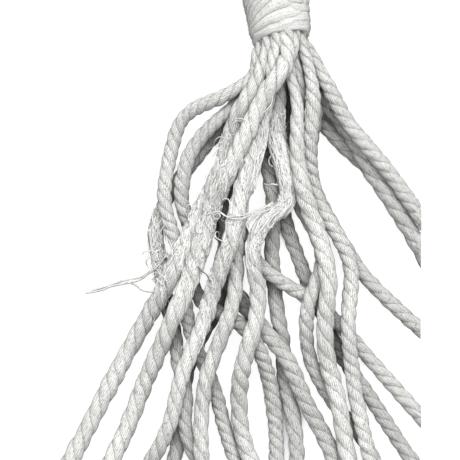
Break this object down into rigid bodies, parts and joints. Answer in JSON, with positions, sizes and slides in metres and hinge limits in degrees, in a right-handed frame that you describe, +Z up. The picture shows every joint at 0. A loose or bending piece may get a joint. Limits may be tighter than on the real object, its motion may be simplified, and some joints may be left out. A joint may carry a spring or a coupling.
{
  "type": "frayed rope bunch",
  "caption": "Bunch of frayed three-strand cotton ropes, bound at one end by a wound serving and fanned out flat where it lies.",
  "frame": {"origin": "middle of the bounding box in plan, on the surface that the bunch lies on", "axes": "+Z up from the surface, +Y towards the bound neck, +X to the right with the neck at the top"},
  "size_m": [0.1835, 0.2485, 0.0393],
  "materials": {
    "rope_cotton": "matte undyed laid cotton, fuzzy and dusty from wear",
    "serving_cotton": "matte undyed cotton, tightly wound"
  },
  "bodies": {
    "root": {"serving": "serving_cotton", "rope_01": "rope_cotton", "rope_02": "rope_cotton", "rope_03": "rope_cotton", "rope_04": "rope_cotton", "rope_05": "rope_cotton", "rope_06": "rope_cotton", "rope_07": "rope_cotton", "rope_08": "rope_cotton", "rope_09": "rope_cotton", "rope_10": "rope_cotton", "rope_11": "rope_cotton", "rope_12": "rope_cotton", "rope_13": "rope_cotton", "rope_14": "rope_cotton", "rope_15": "rope_cotton", "rope_16": "rope_cotton", "rope_17": "rope_cotton", "rope_18": "rope_cotton", "rope_19": "rope_cotton", "rope_20": "rope_cotton"}
  },
  "joints": []
}
